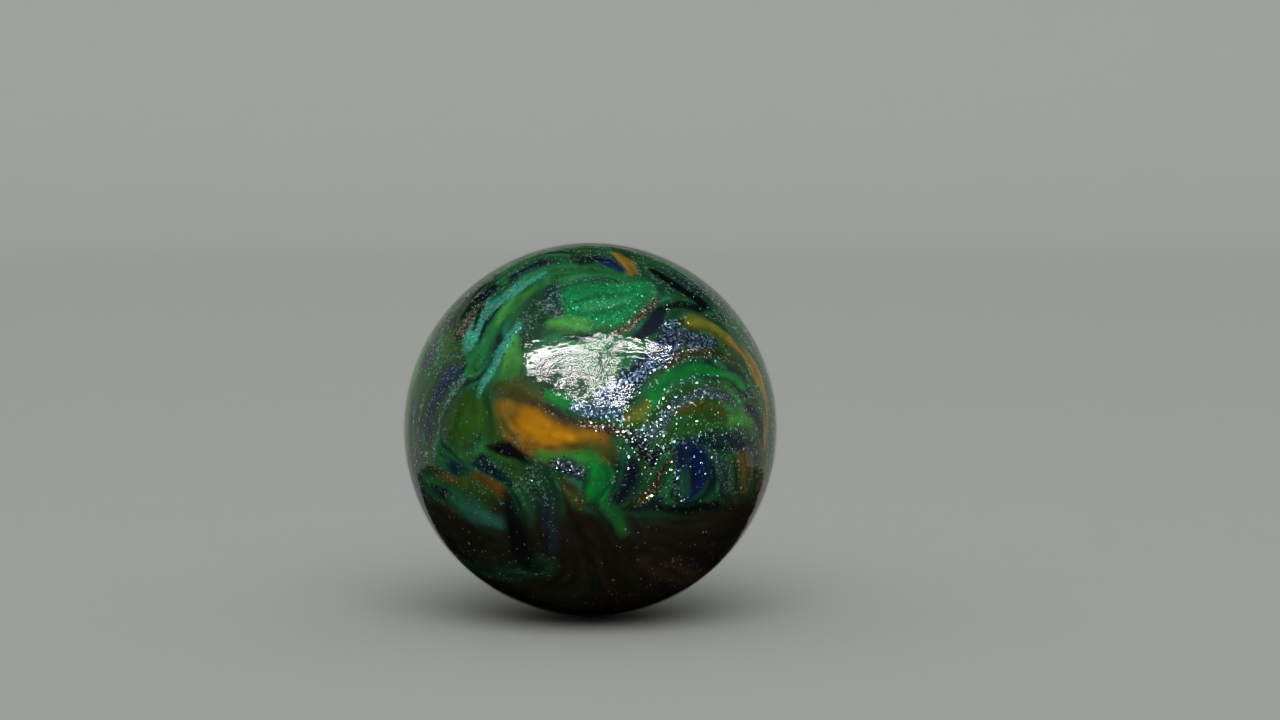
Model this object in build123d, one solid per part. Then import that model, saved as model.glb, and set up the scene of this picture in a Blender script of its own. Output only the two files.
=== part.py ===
from build123d import *
import math
import os

# A marbled cue ball: a plain cast core, a layer of coloured resin masses pressed side by side
# round it, and a clear gloss coat. Millimetres, +Z up, origin at the ball's centre.

# Driving dimensions
BALL_DIAMETER = 57.15
COAT_THICKNESS = 0.2
MARBLING_THICKNESS = 4.0
CUTTER_INNER_SHARE = 0.7
CUTTER_OUTER_SHARE = 1.2
TIP_ROUNDING = 0.7

BALL_RADIUS = BALL_DIAMETER / 2
MARBLING_RADIUS = BALL_RADIUS - COAT_THICKNESS
CORE_RADIUS = MARBLING_RADIUS - MARBLING_THICKNESS

# Each mass of colour is a stroke on the ball: points along its middle line, each with its
# longitude, latitude and half width in degrees. Longitude 0 faces -Y and grows towards +X.
FRONT_MASSES = {
    "emerald_patch": [(-17, 46, 3), (-6, 47, 8.5), (8, 47, 10), (19, 50, 6.5), (28, 53, 3)],
    "green_band": [(-28, 56, 2), (-32, 49, 3), (-36, 41, 3), (-37.5, 33, 3), (-40, 22, 2)],
    "teal_streak": [(-34, 61, 1.2), (-41.5, 51.5, 1.8), (-47, 43, 2), (-47.5, 35, 2), (-46, 29, 1.2)],
    "navy_streak": [(-40, 66, 1.2), (-48, 59, 2.2), (-54, 51, 2), (-57, 45, 1)],
    "black_streak": [(-65, 53, 1.2), (-66, 45, 2.2), (-64, 38, 2), (-60, 31, 1)],
    "olive_field": [(-38, 16.5, 2.5), (-41, 9, 7.5), (-42, 3, 7.5), (-41, -1.5, 3)],
    "navy_band": [(-49, 23, 1.4), (-54, 16, 2.8), (-58, 8, 3), (-59, 0, 1.6)],
    "orange_patch": [(-27, 12, 1.5), (-21.5, 7.5, 5), (-14, 4, 5), (-6, 2.5, 3.6), (3, 1.5, 1.6)],
    "silver_blue_field": [
        (33, 37, 2), (30, 32, 3.6), (24, 28.5, 4), (15, 23, 4), (9, 17.5, 3.8), (3, 12.6, 2.4),
    ],
    "navy_wedge": [(15, 33, 0.9), (21, 36, 1.6), (26, 39.4, 2), (31, 44, 0.9)],
    "black_fold": [(41, 61, 1), (48, 53.5, 2), (54, 47, 2), (57.5, 42.5, 1)],
    "amber_stripe": [(41.5, 36.6, 1.2), (48, 36, 2.4), (56, 31.5, 2.2), (64, 25, 2.2), (69, 16, 1.4)],
    "green_arc": [
        (13.5, 9.5, 1.3), (17.6, 13, 1.7), (20.8, 17, 2), (27, 21, 2),
        (34.5, 22.8, 1.9), (43, 22.3, 1.8), (51, 19.6, 1.4), (57, 15.6, 0.9),
    ],
    "silver_arc": [
        (12, 2.8, 1), (18, 4.6, 1.8), (23, 8.8, 2), (27, 13.2, 2),
        (33, 15.6, 2.1), (40, 15.6, 2.1), (46.5, 13.4, 1.9), (51, 10.6, 1.1),
    ],
    "navy_crescent": [(56.5, 10, 1), (61, 6.5, 1.8), (64.6, 1, 1.8), (66.5, -5, 1)],
    "olive_pool": [(29, 5.4, 1.4), (35, 7.4, 2.8), (42, 7, 2.6), (48, 4.6, 1.2)],
    "blue_patch": [(29, -1.6, 2), (32.6, -5.5, 5), (33.4, -10.5, 5), (31.6, -15.5, 2)],
    "gold_streak": [(23.6, -4.4, 0.8), (20.8, -8.4, 1.5), (17.8, -12.4, 1.5), (14, -16.6, 0.8)],
    "navy_field": [(13, -2.4, 1.4), (12.4, -6.6, 2.6), (10.8, -11.4, 2.4), (8.4, -15.6, 1.2)],
    "green_drop": [(2.4, -4.4, 1.2), (3.4, -8, 2.6), (2, -12, 2.4), (-0.5, -16, 1)],
    "silver_green_patch": [(-19, -5.6, 1.4), (-16.5, -10, 3.2), (-13, -15.2, 1.2)],
    "orange_streak": [(-37.5, -9.6, 0.9), (-32, -12.4, 1.6), (-26, -15.6, 0.9)],
    "rust_patch": [(52.5, -4, 1.4), (55.4, -9, 3), (56.6, -15, 1.4)],
}

BACK_MASSES = {
    "back_emerald_patch": [(150, 38, 3), (164, 44, 9), (182, 42, 8), (198, 46, 3)],
    "back_orange_patch": [(150, 18, 2), (160, 9, 5.4), (173, 4, 5), (186, 6, 1.8)],
    "back_navy_field": [(206, 28, 2), (214, 20, 5), (221, 8, 5), (224, -5, 1.8)],
    "back_silver_arc": [(178, 24, 1.2), (192, 19, 2.6), (200, 8, 2.6), (200, -4, 2.4), (194, -14, 1.2)],
    "back_amber_stripe": [(214, 44, 1.2), (229, 36, 2.6), (239, 22, 2.6), (243, 8, 1.2)],
    "back_blue_patch": [(146, -8, 2), (157, -15, 6), (168, -22, 5), (178, -28, 2)],
    "right_side_green_band": [
        (120, 42, 1.6), (113, 28, 3.4), (110, 12, 3.4), (114, -4, 2.8), (124, -16, 1.4),
    ],
    "underside_brown_patch": [(20, -38, 1.8), (38, -46, 4), (60, -50, 3.6), (78, -46, 1.6)],
    "underside_green_arc": [
        (-100, -20, 1.6), (-90, -34, 3.4), (-62, -44, 3.6), (-34, -44, 3), (-14, -38, 1.4),
    ],
}


def direction(longitude, latitude):
    """The outward unit vector at a place on the ball."""
    across = math.cos(math.radians(latitude))
    east = across * math.sin(math.radians(longitude))
    south = across * math.cos(math.radians(longitude))
    return Vector(east, -south, math.sin(math.radians(latitude)))


def stroke_outline(stroke):
    """Unit vectors round a stroke: up one edge, round the far tip, and back down the other edge."""
    middle = [direction(longitude, latitude) for longitude, latitude, _ in stroke]
    reach = [math.tan(math.radians(half_width)) for _, _, half_width in stroke]
    last = len(stroke) - 1
    left, right = [], []
    for i, place in enumerate(middle):
        along = (middle[min(i + 1, last)] - middle[max(i - 1, 0)]).normalized()
        side = place.cross(along).normalized() * reach[i]
        left.append(place + side)
        right.append(place - side)
    start_along = (middle[0] - middle[1]).normalized() * reach[0] * TIP_ROUNDING
    end_along = (middle[last] - middle[last - 1]).normalized() * reach[last] * TIP_ROUNDING
    return left + [middle[last] + end_along] + right[::-1] + [middle[0] + start_along]


def radial_cutter(stroke):
    """A solid with the stroke's outline, its walls running towards the ball's centre."""
    outline = stroke_outline(stroke)
    centre = sum(outline[1:], outline[0]).normalized()
    inner_distance = CORE_RADIUS * CUTTER_INNER_SHARE
    outer_distance = BALL_RADIUS * CUTTER_OUTER_SHARE
    sections = []
    for distance in (inner_distance, outer_distance):
        # Every section lies in a plane square to the middle direction.
        points = [place * (distance / place.dot(centre)) for place in outline]
        sections.append(Wire([Edge.make_spline(points, periodic=True)]))
    return Solid.make_loft(sections, ruled=True)


def ball_shell(outer_radius, inner_radius):
    return Solid.make_sphere(outer_radius) - Solid.make_sphere(inner_radius)


def colour_masses(layer, strokes):
    """Cut every mass out of the layer; what is left of the layer is the ground between them."""
    cutters = {name: radial_cutter(stroke) for name, stroke in strokes.items()}
    masses = {name: layer & cutter for name, cutter in cutters.items()}
    ground = layer - list(cutters.values())
    return masses, ground


def marbled_ball():
    parts = {
        "core_ball": Solid.make_sphere(CORE_RADIUS),
        "clear_coat": ball_shell(BALL_RADIUS, MARBLING_RADIUS),
    }
    layer = ball_shell(MARBLING_RADIUS, CORE_RADIUS)
    strokes = {**FRONT_MASSES, **BACK_MASSES}
    masses, ground = colour_masses(layer, strokes)
    parts["dark_ground"] = ground
    parts.update(masses)
    return parts


os.makedirs("parts", exist_ok=True)
for node, solid in marbled_ball().items():
    export_step(solid, f"parts/{node}.step")
    print(node, round(solid.volume, 3))
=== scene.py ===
import bmesh
import bpy
import math
import numpy as np
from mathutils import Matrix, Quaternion, Vector


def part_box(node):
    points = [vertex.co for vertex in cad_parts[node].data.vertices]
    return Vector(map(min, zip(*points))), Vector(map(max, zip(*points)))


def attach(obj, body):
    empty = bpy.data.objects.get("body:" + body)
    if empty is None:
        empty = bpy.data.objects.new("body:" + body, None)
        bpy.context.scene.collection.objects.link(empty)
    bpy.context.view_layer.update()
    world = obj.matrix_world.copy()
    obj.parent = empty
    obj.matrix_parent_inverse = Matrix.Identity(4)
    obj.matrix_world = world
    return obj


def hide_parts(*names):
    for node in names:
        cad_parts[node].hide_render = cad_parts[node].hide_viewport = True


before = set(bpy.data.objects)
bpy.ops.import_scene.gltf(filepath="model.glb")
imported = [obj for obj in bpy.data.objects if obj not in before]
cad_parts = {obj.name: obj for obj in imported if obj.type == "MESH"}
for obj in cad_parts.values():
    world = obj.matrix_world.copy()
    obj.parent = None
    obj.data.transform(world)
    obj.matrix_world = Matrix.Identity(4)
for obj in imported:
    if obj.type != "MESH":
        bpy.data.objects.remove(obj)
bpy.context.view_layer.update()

# A marbled cue ball. Metres, in the CAD frame: the ball's centre is the origin, -Y is the front.
MM = 0.001
coat_low, coat_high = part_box("clear_coat")
core_low, core_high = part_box("core_ball")
ground_low, ground_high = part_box("dark_ground")
BALL_RADIUS = (coat_high.x - coat_low.x) / 2
MARBLING_RADIUS = (ground_high.y - ground_low.y) / 2
CORE_RADIUS = (core_high.x - core_low.x) / 2
COAT_GAP = 0.01 * MM
BODY = "root"

# How finely the two meshes are divided, and the size of the larger triangles on their inner faces
MARBLING_SPLITS = 92
INNER_BLOCK = 4
COAT_SPLITS = 70
COAT_INNER_BLOCK = 1
SEED = 7

# Colours, linear RGB of the bare pigments
BLACK = (0.003, 0.004, 0.005)
# Dark reddish brown for the underside: partly the resin's own colour, partly painted shade, and its red
# tint is a painted reflection of a red stand below.
UMBER_AND_PAINTED_SHADE = (0.020, 0.009, 0.0075)
DEEP_GREEN = (0.011, 0.056, 0.028)
GREEN = (0.021, 0.203, 0.058)
LEAF_GREEN = (0.069, 0.345, 0.046)
BRIGHT_GREEN = (0.0034, 0.235, 0.036)
EMERALD = (0.005, 0.25, 0.075)
TEAL = (0.045, 0.46, 0.32)
OLIVE = (0.0345, 0.115, 0.0115)
MOSS = (0.0805, 0.0759, 0.0092)
NAVY = (0.004, 0.010, 0.026)
BLUE = (0.004, 0.012, 0.075)
SLATE = (0.014, 0.032, 0.046)
ORANGE = (0.644, 0.2645, 0.0011)
AMBER = (0.322, 0.1955, 0.0184)
YELLOW_OLIVE = (0.1495, 0.1725, 0.0161)
RUST = (0.140, 0.070, 0.010)
BROWN = (0.040, 0.026, 0.012)
RUST_OLIVE = (0.115, 0.085, 0.018)
SILVER_GROUND = (0.036, 0.082, 0.090)

SILVER = (0.44, 0.64, 0.62)
PALE_FLAKE = (0.24, 0.62, 0.42)
GREEN_FLAKE = (0.05, 0.62, 0.24)
BLUE_FLAKE = (0.28, 0.44, 0.66)
COPPER_FLAKE = (0.56, 0.46, 0.34)
GOLD_FLAKE = (0.62, 0.54, 0.28)
LILAC_FLAKE = (0.46, 0.56, 0.66)
TEAL_FLAKE = (0.30, 0.86, 0.68)

# What fills each CAD mass: pigment, share of the surface that is glitter, glitter's colour, and
# how softly the colour runs into its neighbours, in degrees on the ball.
MASS_LOOKS = {
    "emerald_patch": (EMERALD, 0.50, GREEN_FLAKE, 8.0),
    "green_band": (GREEN, 0.04, PALE_FLAKE, 3.0),
    "teal_streak": (TEAL, 0.80, TEAL_FLAKE, 2.4),
    "navy_streak": (NAVY, 0.10, BLUE_FLAKE, 1.6),
    "black_streak": (BLACK, 0.02, SILVER, 1.6),
    "olive_field": (OLIVE, 0.03, PALE_FLAKE, 8.0),
    "navy_band": (SLATE, 0.25, BLUE_FLAKE, 3.0),
    "orange_patch": (ORANGE, 0.01, GOLD_FLAKE, 9.0),
    "silver_blue_field": (NAVY, 0.75, BLUE_FLAKE, 2.4),
    "navy_wedge": (BLACK, 0.0, BLUE_FLAKE, 1.2),
    "black_fold": (BLACK, 0.03, SILVER, 1.0),
    "amber_stripe": (AMBER, 0.08, GOLD_FLAKE, 3.0),
    "green_arc": (BRIGHT_GREEN, 0.03, PALE_FLAKE, 2.0),
    "silver_arc": (SILVER_GROUND, 0.55, SILVER, 3.0),
    "navy_crescent": (NAVY, 0.10, BLUE_FLAKE, 1.8),
    "olive_pool": (OLIVE, 0.10, PALE_FLAKE, 8.0),
    "blue_patch": (BLUE, 0.08, BLUE_FLAKE, 5.0),
    "gold_streak": (BROWN, 0.50, GOLD_FLAKE, 1.8),
    "navy_field": (NAVY, 0.12, SILVER, 4.5),
    "green_drop": (BRIGHT_GREEN, 0.04, PALE_FLAKE, 4.0),
    "silver_green_patch": (DEEP_GREEN, 0.50, PALE_FLAKE, 4.0),
    "orange_streak": (RUST, 0.06, GOLD_FLAKE, 2.0),
    "rust_patch": (RUST_OLIVE, 0.06, GOLD_FLAKE, 12.0),
    "back_emerald_patch": (EMERALD, 0.50, GREEN_FLAKE, 6.0),
    "back_orange_patch": (ORANGE, 0.01, GOLD_FLAKE, 5.0),
    "back_navy_field": (NAVY, 0.25, BLUE_FLAKE, 3.5),
    "back_silver_arc": (SILVER_GROUND, 0.70, SILVER, 2.0),
    "back_amber_stripe": (AMBER, 0.08, GOLD_FLAKE, 3.0),
    "back_blue_patch": (BLUE, 0.20, BLUE_FLAKE, 4.0),
    "right_side_green_band": (LEAF_GREEN, 0.05, PALE_FLAKE, 4.0),
    "underside_brown_patch": (BROWN, 0.04, GOLD_FLAKE, 6.0),
    "underside_green_arc": (DEEP_GREEN, 0.06, PALE_FLAKE, 6.0),
}

# Thinner streaks within and between the masses. Each is a colour, glitter share, glitter colour,
# softness and opacity, then points along its middle: longitude, latitude, half width in degrees.
STREAKS = [
    (GREEN, 0.10, PALE_FLAKE, 6.0, 0.9, [(-36, 58, 4), (-20, 61, 6), (0, 62, 5), (16, 58, 4)]),
    (DEEP_GREEN, 0.45, PALE_FLAKE, 3.0, 0.8, [(-22, 45, 3), (-24, 36, 4), (-28, 27, 3)]),
    (LEAF_GREEN, 0.03, PALE_FLAKE, 2.4, 0.9, [(-27, 32, 1.6), (-26, 25, 3), (-26.5, 19, 1.8)]),
    (LEAF_GREEN, 0.04, PALE_FLAKE, 2.4, 0.85, [(-29, 53, 1.2), (-34, 46, 1.8), (-36.5, 39, 1.2)]),
    (TEAL, 0.75, TEAL_FLAKE, 1.2, 0.85, [(-27, 38, 0.9), (-31, 30, 1.4), (-34, 21, 1.2), (-36, 15, 0.6)]),
    (TEAL, 0.85, TEAL_FLAKE, 1.0, 0.95, [
        (-30, 60, 0.7), (-37, 51, 1.2), (-42.5, 44, 1.3), (-45, 38, 1.6), (-43, 32, 0.9),
    ]),
    (NAVY, 0.50, SILVER, 3.0, 0.85, [(-19, 53, 1.6), (-17, 47, 3), (-13, 42, 1.6)]),
    (DEEP_GREEN, 0.55, PALE_FLAKE, 2.6, 0.7, [(-4, 56, 1), (6, 57, 1.6), (16, 55, 1)]),
    (LEAF_GREEN, 0.20, PALE_FLAKE, 2.6, 0.9, [(-14, 37.6, 1.8), (-9, 38, 2.8), (-3, 38, 1.4)]),
    (EMERALD, 0.35, PALE_FLAKE, 4.0, 0.8, [(0, 44, 1.6), (6, 45, 3), (13, 46, 1.6)]),
    (BROWN, 0.60, COPPER_FLAKE, 1.2, 0.9, [
        (6, 33.8, 0.6), (14, 36.6, 1.3), (22, 41.4, 1.4), (29, 46.4, 0.9),
    ]),
    (NAVY, 0.0, SILVER, 1.2, 1.0, [(15, 33.6, 1), (20, 35.4, 2.2), (25.5, 37.6, 2.4), (30.5, 42.6, 1.2)]),
    (BROWN, 0.60, COPPER_FLAKE, 1.4, 0.9, [(-53, 43, 0.8), (-53, 38, 1.8), (-52, 32, 1.2)]),
    (BLACK, 0.05, SILVER, 1.2, 0.95, [(-50, 43, 1), (-48.5, 39.4, 1.2), (-46.5, 35, 0.7)]),
    (BLACK, 0.06, SILVER, 1.2, 0.9, [(-57, 52, 0.9), (-60.4, 45, 1.5), (-60, 38, 1)]),
    (SILVER_GROUND, 0.80, SILVER, 0.9, 0.9, [
        (-44, 19, 0.5), (-47, 14, 0.7), (-50.5, 8.5, 0.7), (-55, 3, 0.8), (-55.5, -4, 0.8),
    ]),
    (BLUE, 0.20, BLUE_FLAKE, 2.6, 0.8, [(-47, 21, 1.4), (-52, 16, 2.2), (-56, 9, 1.8)]),
    (GREEN, 0.03, PALE_FLAKE, 2.6, 0.8, [(-66, 58, 1.6), (-58, 56, 2), (-52, 54, 1)]),
    (MOSS, 0.03, GOLD_FLAKE, 5.0, 0.95, [(-29, 17, 2.6), (-23.5, 17, 4), (-19, 14, 3)]),
    (OLIVE, 0.03, PALE_FLAKE, 5.0, 0.9, [(-34, 12, 2.6), (-31, 6, 3.6), (-29, 0, 2.4)]),
    (MOSS, 0.02, GOLD_FLAKE, 4.0, 0.85, [(-7, 0.5, 1.4), (0, 0, 2.4), (6, -1.5, 2.2)]),
    (ORANGE, 0.01, GOLD_FLAKE, 4.0, 0.9, [
        (-20, 10.5, 1.6), (-17, 8.4, 3), (-11, 4.6, 2.8), (-6, 3.2, 1.4),
    ]),
    (BRIGHT_GREEN, 0.15, PALE_FLAKE, 1.6, 0.95, [(-12.5, 15, 1.2), (-9, 13.4, 2.2), (-5, 12, 1.2)]),
    (BRIGHT_GREEN, 0.03, PALE_FLAKE, 3.0, 0.85, [(-16, -2, 1), (-8, -2.6, 1.6), (0, -3, 2.2)]),
    (BROWN, 0.55, COPPER_FLAKE, 1.4, 0.85, [(-14.5, 11, 0.7), (-7, 8, 1.4), (1, 6.2, 1.6), (10, 4.6, 1.2)]),
    (SILVER_GROUND, 0.70, BLUE_FLAKE, 1.8, 0.9, [(-5, 11, 1.4), (1, 10.4, 2.6), (9, 10, 2.4)]),
    (YELLOW_OLIVE, 0.10, GOLD_FLAKE, 2.0, 0.9, [(11, 9, 1.8), (14.5, 10.4, 2.6), (17, 13, 1.4)]),
    (BROWN, 0.20, COPPER_FLAKE, 1.2, 0.8, [
        (23, 22.4, 0.5), (29, 25.8, 1), (37, 28, 1.3), (47, 27.4, 1.3), (56, 24, 0.8),
    ]),
    (NAVY, 0.70, BLUE_FLAKE, 2.0, 0.9, [(33, 33, 1.6), (40, 31.4, 2.6), (48, 30.4, 2)]),
    (BLACK, 0.05, SILVER, 1.2, 0.95, [(33, 43.8, 0.9), (42, 44.6, 1.8), (50, 43.4, 2), (56, 43, 1.2)]),
    (YELLOW_OLIVE, 0.04, GOLD_FLAKE, 3.0, 0.95, [(43, 38, 1.8), (48, 37, 3), (54, 33.6, 2.2)]),
    (AMBER, 0.04, GOLD_FLAKE, 2.6, 0.9, [(64, 26, 1.2), (68.5, 18, 1.8), (70, 8, 1.6), (67, -4, 1.2)]),
    (LEAF_GREEN, 0.04, PALE_FLAKE, 2.6, 0.7, [(48, 6, 1.2), (52.5, 7.4, 2.4), (57, 4.6, 1.4)]),
    (MOSS, 0.06, GOLD_FLAKE, 3.0, 0.85, [(28, 10, 1), (35, 10.8, 1.8), (44, 9.6, 1.6)]),
    (SILVER_GROUND, 0.55, SILVER, 2.0, 0.8, [(40.5, -5, 1.4), (44.5, -9.4, 3), (46.6, -14.4, 1.6)]),
    (BLACK, 0.22, SILVER, 2.4, 0.9, [(11, 4, 1), (15.5, 1, 2), (18.5, -3.4, 1.6)]),
    (SLATE, 0.05, LILAC_FLAKE, 3.0, 0.8, [(42, 0.5, 1.6), (50, -0.4, 2.6), (58, -1.6, 1.4)]),
    (RUST, 0.02, GOLD_FLAKE, 3.0, 0.8, [(64, -3, 1.4), (67, -8, 2.2), (66, -14, 1.2)]),
    (NAVY, 0.60, LILAC_FLAKE, 1.8, 0.9, [(-11, -4.6, 1), (-6.8, -5.8, 2.2), (-2.6, -8, 1)]),
    (BLACK, 0.03, SILVER, 2.4, 1.0, [(-31, -1, 1.2), (-25.4, -1.8, 3), (-20, -4, 1.2)]),
    (NAVY, 0.15, SILVER, 1.6, 0.9, [(-33, -6.8, 0.8), (-29.6, -9, 1.6), (-25, -12.2, 1)]),
    (BLUE, 0.08, BLUE_FLAKE, 2.4, 0.9, [(-50, -6.4, 1), (-45, -7.8, 2.6), (-40, -8, 1.4)]),
    (MOSS, 0.05, GOLD_FLAKE, 2.4, 0.85, [(-54, -11.6, 1), (-47, -12, 1.8), (-41, -12.6, 1)]),
    (RUST, 0.06, GOLD_FLAKE, 1.6, 0.8, [(-36, -9.6, 0.7), (-31.5, -12.2, 1.2), (-26, -15.4, 0.8)]),
    (MOSS, 0.12, GOLD_FLAKE, 3.0, 0.85, [(-8, -9.6, 1.6), (-5, -12.4, 2.8), (-2, -17, 1.6)]),
    (BLUE, 0.08, BLUE_FLAKE, 1.6, 0.95, [(9, 70, 1.2), (16, 66, 2.6), (20.5, 62, 1.6)]),
    (AMBER, 0.04, GOLD_FLAKE, 2.0, 0.95, [(30, 73, 1.4), (28, 66.6, 2.3), (26, 60, 1.4)]),
    (BLACK, 0.20, SILVER, 4.0, 0.8, [(-16, 70, 2), (-6, 69, 4), (4, 71, 2.4)]),
    (SLATE, 0.40, SILVER, 4.0, 0.8, [(56, 58, 2), (64, 52, 3.6), (72, 44, 2.6)]),
    (OLIVE, 0.06, PALE_FLAKE, 3.0, 0.8, [(-62, 34, 1.6), (-57, 28, 2.6), (-50, 29, 1.6)]),
    (BLACK, 0.03, SILVER, 4.0, 0.9, [(-26, -16, 2), (-25, -26, 3.4), (-25, -40, 3)]),
    (BLACK, 0.03, SILVER, 2.4, 0.9, [(20, -18, 1), (30, -20, 1.8), (44, -19, 1.4)]),
    (BRIGHT_GREEN, 0.04, PALE_FLAKE, 4.0, 0.45, [(4, -17, 1.4), (8, -21.4, 2.6), (10, -26, 1.4)]),
    (TEAL, 0.06, PALE_FLAKE, 6.0, 0.25, [(-48, -19, 2), (-40, -22, 4), (-32, -24, 2)]),
    (SLATE, 0.10, LILAC_FLAKE, 3.0, 0.8, [(-13, -17, 1.4), (-12.6, -25, 2.4), (-13, -33, 1.4)]),
    (GREEN, 0.10, PALE_FLAKE, 3.0, 0.8, [(168, 60, 2), (190, 66, 3.6), (220, 64, 2)]),
    (BLACK, 0.06, SILVER, 2.0, 0.9, [(236, 54, 1), (249, 43, 2.4), (257, 29, 2.2), (260, 14, 1)]),
    (TEAL, 0.60, PALE_FLAKE, 1.6, 0.9, [(138, 56, 1), (133, 42, 2), (131, 28, 2.2), (136, 14, 1)]),
    (BROWN, 0.50, GOLD_FLAKE, 1.6, 0.9, [
        (178, -6, 0.8), (183, -15, 1.8), (190, -23, 1.6), (200, -29, 0.8),
    ]),
    (OLIVE, 0.06, PALE_FLAKE, 5.0, 0.9, [(208, -18, 2), (221, -24, 6), (238, -22, 5), (252, -12, 2)]),
    (BROWN, 0.55, COPPER_FLAKE, 1.4, 0.85, [
        (146, 30, 0.6), (158, 32.6, 1.2), (172, 31.4, 1.3), (188, 33.6, 0.8),
    ]),
    (MOSS, 0.04, GOLD_FLAKE, 4.0, 0.9, [(140, 14, 2), (150, 8, 3.4), (162, 0, 2)]),
    (LEAF_GREEN, 0.04, PALE_FLAKE, 3.0, 0.9, [(196, 34, 1.4), (206, 42, 2.6), (214, 52, 1.6)]),
    (BRIGHT_GREEN, 0.04, PALE_FLAKE, 2.4, 0.9, [(232, 20, 1), (230, 6, 2.2), (234, -8, 1.4)]),
    (NAVY, 0.30, BLUE_FLAKE, 2.4, 0.9, [(94, 34, 1), (97, 20, 2.6), (96, 6, 2.4), (99, -8, 1)]),
    (SILVER_GROUND, 0.70, SILVER, 1.6, 0.9, [(78, 34, 0.8), (81, 22, 2), (83, 8, 2), (80, -6, 0.9)]),
    (MOSS, 0.08, GOLD_FLAKE, 4.0, 0.85, [(72, -16, 1.6), (84, -20, 4), (98, -20, 2)]),
    (ORANGE, 0.02, GOLD_FLAKE, 3.0, 0.85, [(88, 52, 1.2), (98, 56, 2.6), (112, 56, 1.6)]),
    (LEAF_GREEN, 0.05, PALE_FLAKE, 3.0, 0.9, [(-84, 30, 1.6), (-80, 18, 4), (-78, 5, 3.4), (-80, -7, 1.4)]),
    (NAVY, 0.35, SILVER, 2.6, 0.85, [(-94, 44, 1.4), (-98, 28, 3.2), (-96, 10, 3), (-100, -6, 1.4)]),
    (AMBER, 0.04, GOLD_FLAKE, 3.0, 0.85, [(-88, -4, 1), (-92, -12, 2), (-102, -16, 1.4)]),
]


def direction(longitude, latitude):
    """The outward unit vector at a place on the ball: longitude 0 faces -Y and grows towards +X."""
    across = math.cos(math.radians(latitude))
    east = across * math.sin(math.radians(longitude))
    south = across * math.cos(math.radians(longitude))
    return np.array((east, -south, math.sin(math.radians(latitude))))


def unit(vectors):
    return vectors / np.linalg.norm(vectors, axis=-1, keepdims=True)


def smooth_step(values):
    share = np.clip(values, 0.0, 1.0)
    return share * share * (3.0 - 2.0 * share)


def waves(directions, waves_round, seed, count=28):
    """Smooth random relief over the ball, about -1 to 1, from plane waves in random directions."""
    random = np.random.default_rng(seed)
    headings = unit(random.normal(size=(count, 3))) * waves_round * random.uniform(0.6, 1.4, (count, 1))
    phases = random.uniform(0.0, math.tau, count)
    return np.sin(directions @ headings.T + phases).sum(axis=1) * math.sqrt(2.0 / count) / 2.0


def warped(directions, waves_round, degrees, seed):
    """The same places, pushed about sideways by smooth random waves of about that many degrees."""
    push = np.stack([waves(directions, waves_round, seed + axis) for axis in range(3)], axis=1)
    return unit(directions + push * math.radians(degrees))


# The ball's hand-made unevenness, kept far below what would stop it rolling.
def unevenness(directions):
    broad = waves(directions, 3.0, SEED + 100) * 0.10 * MM
    fine = waves(directions, 14.0, SEED + 110) * 0.02 * MM
    return broad + fine


class Geodesic:
    """An even ball: each side of an icosahedron's faces is split into that many parts. Blocks are
    larger triangles of block x block small ones, for faces that nobody sees."""

    def __init__(self, splits, block):
        ball = bmesh.new()
        bmesh.ops.create_icosphere(ball, subdivisions=1, radius=1.0)
        self.corners = unit(np.array([vertex.co[:] for vertex in ball.verts]))
        self.splits = splits
        self.block = block
        self.found = {}
        self.places = []
        self.loops = []
        triangles = []
        blocks_of = []
        for face in ball.faces:
            corners = [vertex.index for vertex in face.verts]
            block_at = self.add_blocks(corners)
            for i in range(splits):
                for j in range(splits - i):
                    in_i, in_j = i % block, j % block
                    home = (i - in_i, j - in_j)
                    a, b, c = (self.point(corners, *at) for at in ((i, j), (i + 1, j), (i, j + 1)))
                    triangles.append((a, b, c))
                    blocks_of.append(block_at[(*home, in_i + in_j < block)])
                    if i + j < splits - 1:
                        triangles.append((b, self.point(corners, i + 1, j + 1), c))
                        blocks_of.append(block_at[(*home, in_i + in_j < block - 1)])
        ball.free()
        self.directions = unit(np.array(self.places))
        self.triangles = np.array(triangles)
        self.blocks_of = np.array(blocks_of)

    def add_blocks(self, corners):
        """A face's blocks: each one's number, by its first place and whether it points up."""
        block = self.block
        block_at = {}
        for i in range(0, self.splits, block):
            for j in range(0, self.splits - i, block):
                right, far, above = (i + block, j), (i + block, j + block), (i, j + block)
                block_at[i, j, True] = len(self.loops)
                self.loops.append(self.walk(corners, [(i, j), right, above]))
                if i + j < self.splits - block:
                    block_at[i, j, False] = len(self.loops)
                    self.loops.append(self.walk(corners, [right, far, above]))
        return block_at

    def point(self, corners, i, j):
        """The vertex at a place on a face, shared with the faces beside it."""
        shares = (self.splits - i - j, i, j)
        key = tuple(sorted((corner, share) for corner, share in zip(corners, shares) if share))
        if key not in self.found:
            self.found[key] = len(self.places)
            parts = (self.corners[corner] * share for corner, share in zip(corners, shares))
            self.places.append(sum(parts))
        return self.found[key]

    def walk(self, corners, turns):
        """The vertices round a block, side by side, starting at its first corner."""
        loop = []
        for (i, j), (to_i, to_j) in zip(turns, turns[1:] + turns[:1]):
            step_i, step_j = (to_i - i) // self.block, (to_j - j) // self.block
            for k in range(self.block):
                loop.append(self.point(corners, i + k * step_i, j + k * step_j))
        return loop


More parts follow.
